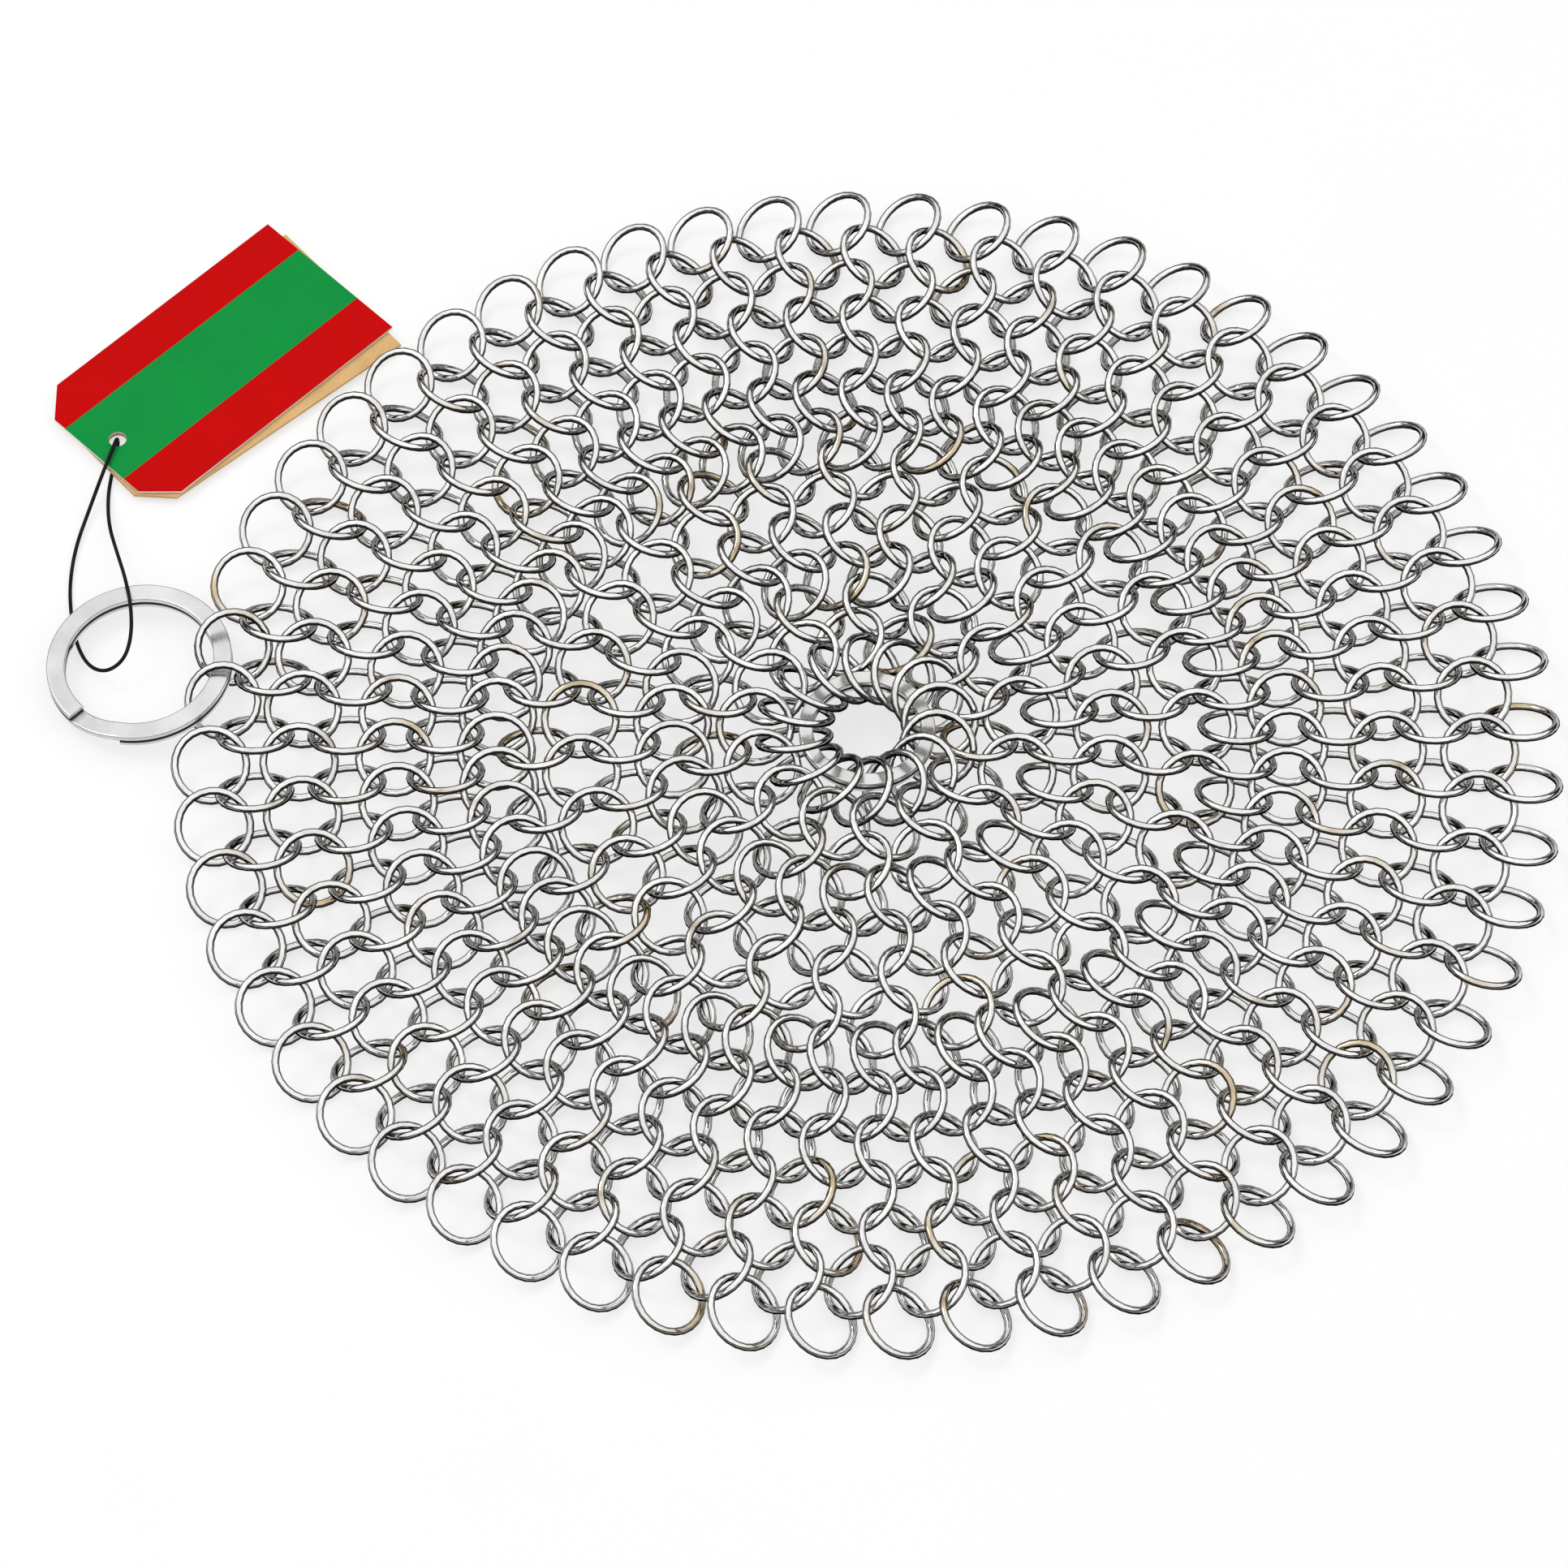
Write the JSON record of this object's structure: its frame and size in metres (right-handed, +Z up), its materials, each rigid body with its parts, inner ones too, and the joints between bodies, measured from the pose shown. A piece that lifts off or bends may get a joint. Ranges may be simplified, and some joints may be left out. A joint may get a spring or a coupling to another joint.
{
  "type": "pot scrubber",
  "caption": "Round flat chain-mail pot scrubber of linked steel rings, with a split ring at its centre, a split key ring to hang it by and a two-card hang tag on a cord loop.",
  "frame": {"origin": "centre of the disc, on the face that it lies on", "axes": "+Z up out of the face, +X away from the key ring, +Y across the disc, towards the side where the tag lies"},
  "size_m": [0.2023, 0.1774, 0.0095],
  "materials": {
    "link_steel": "polished",
    "ring_steel": "polished",
    "cord": "matte",
    "front_card": "satin",
    "back_card": "matte"
  },
  "bodies": {
    "mesh_left_9": {"mesh_left_9": "link_steel"},
    "mesh_left_8": {"mesh_left_8": "link_steel"},
    "mesh_left_7": {"mesh_left_7": "link_steel"},
    "mesh_left_6": {"mesh_left_6": "link_steel"},
    "mesh_left_5": {"mesh_left_5": "link_steel"},
    "mesh_left_4": {"mesh_left_4": "link_steel"},
    "mesh_left_3": {"mesh_left_3": "link_steel"},
    "mesh_left_2": {"mesh_left_2": "link_steel"},
    "mesh_left_1": {"mesh_left_1": "link_steel"},
    "mesh_middle": {"mesh_middle": "link_steel"},
    "mesh_right_1": {"mesh_right_1": "link_steel"},
    "mesh_right_2": {"mesh_right_2": "link_steel"},
    "mesh_right_3": {"mesh_right_3": "link_steel"},
    "mesh_right_4": {"mesh_right_4": "link_steel"},
    "mesh_right_5": {"mesh_right_5": "link_steel"},
    "mesh_right_6": {"mesh_right_6": "link_steel"},
    "mesh_right_7": {"mesh_right_7": "link_steel"},
    "mesh_right_8": {"mesh_right_8": "link_steel"},
    "mesh_right_9": {"mesh_right_9": "link_steel"},
    "centre_ring": {"centre_ring": "ring_steel"},
    "key_ring": {"key_ring": "ring_steel"},
    "tag_cord": {"tag_cord": "cord"},
    "front_card": {"front_card": "front_card"},
    "back_card": {"back_card": "back_card"}
  },
  "joints": [
    {"name": "left_curl", "type": "hinge", "parent": "mesh_middle", "child": "mesh_left_1", "pos_m": [-0.00468, 0, 0.00439], "axis": [0, 1, 0], "range_deg": [-5, 5]},
    {"name": "left_curl_2", "type": "hinge", "parent": "mesh_left_1", "child": "mesh_left_2", "pos_m": [-0.01402, 0, 0.00432], "axis": [0, 1, 0], "range_deg": [-5, 5]},
    {"name": "left_curl_3", "type": "hinge", "parent": "mesh_left_2", "child": "mesh_left_3", "pos_m": [-0.02337, 0, 0.00419], "axis": [0, 1, 0], "range_deg": [-5, 5]},
    {"name": "left_curl_4", "type": "hinge", "parent": "mesh_left_3", "child": "mesh_left_4", "pos_m": [-0.03272, 0, 0.00402], "axis": [0, 1, 0], "range_deg": [-5, 5]},
    {"name": "left_curl_5", "type": "hinge", "parent": "mesh_left_4", "child": "mesh_left_5", "pos_m": [-0.04208, 0, 0.00381], "axis": [0, 1, 0], "range_deg": [-5, 5]},
    {"name": "left_curl_6", "type": "hinge", "parent": "mesh_left_5", "child": "mesh_left_6", "pos_m": [-0.05142, 0, 0.00359], "axis": [0, 1, 0], "range_deg": [-5, 5]},
    {"name": "left_curl_7", "type": "hinge", "parent": "mesh_left_6", "child": "mesh_left_7", "pos_m": [-0.06078, 0, 0.00339], "axis": [0, 1, 0], "range_deg": [-5, 5]},
    {"name": "left_curl_8", "type": "hinge", "parent": "mesh_left_7", "child": "mesh_left_8", "pos_m": [-0.07013, 0, 0.00325], "axis": [0, 1, 0], "range_deg": [-5, 5]},
    {"name": "left_curl_9", "type": "hinge", "parent": "mesh_left_8", "child": "mesh_left_9", "pos_m": [-0.07948, 0, 0.0032], "axis": [0, 1, 0], "range_deg": [-5, 5]},
    {"name": "right_curl", "type": "hinge", "parent": "mesh_middle", "child": "mesh_right_1", "pos_m": [0.00468, 0, 0.00439], "axis": [0, -1, 0], "range_deg": [-5, 5]},
    {"name": "right_curl_2", "type": "hinge", "parent": "mesh_right_1", "child": "mesh_right_2", "pos_m": [0.01402, 0, 0.00432], "axis": [0, -1, 0], "range_deg": [-5, 5]},
    {"name": "right_curl_3", "type": "hinge", "parent": "mesh_right_2", "child": "mesh_right_3", "pos_m": [0.02337, 0, 0.00419], "axis": [0, -1, 0], "range_deg": [-5, 5]},
    {"name": "right_curl_4", "type": "hinge", "parent": "mesh_right_3", "child": "mesh_right_4", "pos_m": [0.03272, 0, 0.00402], "axis": [0, -1, 0], "range_deg": [-5, 5]},
    {"name": "right_curl_5", "type": "hinge", "parent": "mesh_right_4", "child": "mesh_right_5", "pos_m": [0.04208, 0, 0.00381], "axis": [0, -1, 0], "range_deg": [-5, 5]},
    {"name": "right_curl_6", "type": "hinge", "parent": "mesh_right_5", "child": "mesh_right_6", "pos_m": [0.05142, 0, 0.00359], "axis": [0, -1, 0], "range_deg": [-5, 5]},
    {"name": "right_curl_7", "type": "hinge", "parent": "mesh_right_6", "child": "mesh_right_7", "pos_m": [0.06078, 0, 0.00339], "axis": [0, -1, 0], "range_deg": [-5, 5]},
    {"name": "right_curl_8", "type": "hinge", "parent": "mesh_right_7", "child": "mesh_right_8", "pos_m": [0.07013, 0, 0.00325], "axis": [0, -1, 0], "range_deg": [-5, 5]},
    {"name": "right_curl_9", "type": "hinge", "parent": "mesh_right_8", "child": "mesh_right_9", "pos_m": [0.07948, 0, 0.0032], "axis": [0, -1, 0], "range_deg": [-5, 5]},
    {"name": "centre_ring_turn", "type": "hinge", "parent": "mesh_middle", "child": "centre_ring", "pos_m": [0, 0, 0.0058], "axis": [0, 0, 1], "continuous": true},
    {"name": "key_ring_swing", "type": "hinge", "parent": "mesh_left_9", "child": "key_ring", "pos_m": [-0.08415, 0, 0.0033], "axis": [0, 1, 0], "range_deg": [-4, 40]},
    {"name": "tag_swing", "type": "hinge", "parent": "key_ring", "child": "tag_cord", "pos_m": [-0.1038, 0.00524, 0.00249], "axis": [0.7703, 0.6368, 0.033], "range_deg": [-20, 90]},
    {"name": "front_card_turn", "type": "hinge", "parent": "tag_cord", "child": "front_card", "pos_m": [-0.104, 0.0358, 0.0014], "axis": [0, 0, 1], "range_deg": [-3, 45]},
    {"name": "back_card_turn", "type": "hinge", "parent": "tag_cord", "child": "back_card", "pos_m": [-0.104, 0.0358, 0.0009], "axis": [0, 0, 1], "range_deg": [0, 45]}
  ],
  "couplings": [
    {"joint": "left_curl_2", "follows": "left_curl", "ratio": 1},
    {"joint": "left_curl_3", "follows": "left_curl", "ratio": 1},
    {"joint": "left_curl_4", "follows": "left_curl", "ratio": 1},
    {"joint": "left_curl_5", "follows": "left_curl", "ratio": 1},
    {"joint": "left_curl_6", "follows": "left_curl", "ratio": 1},
    {"joint": "left_curl_7", "follows": "left_curl", "ratio": 1},
    {"joint": "left_curl_8", "follows": "left_curl", "ratio": 1},
    {"joint": "left_curl_9", "follows": "left_curl", "ratio": 1},
    {"joint": "right_curl_2", "follows": "right_curl", "ratio": 1},
    {"joint": "right_curl_3", "follows": "right_curl", "ratio": 1},
    {"joint": "right_curl_4", "follows": "right_curl", "ratio": 1},
    {"joint": "right_curl_5", "follows": "right_curl", "ratio": 1},
    {"joint": "right_curl_6", "follows": "right_curl", "ratio": 1},
    {"joint": "right_curl_7", "follows": "right_curl", "ratio": 1},
    {"joint": "right_curl_8", "follows": "right_curl", "ratio": 1},
    {"joint": "right_curl_9", "follows": "right_curl", "ratio": 1}
  ]
}
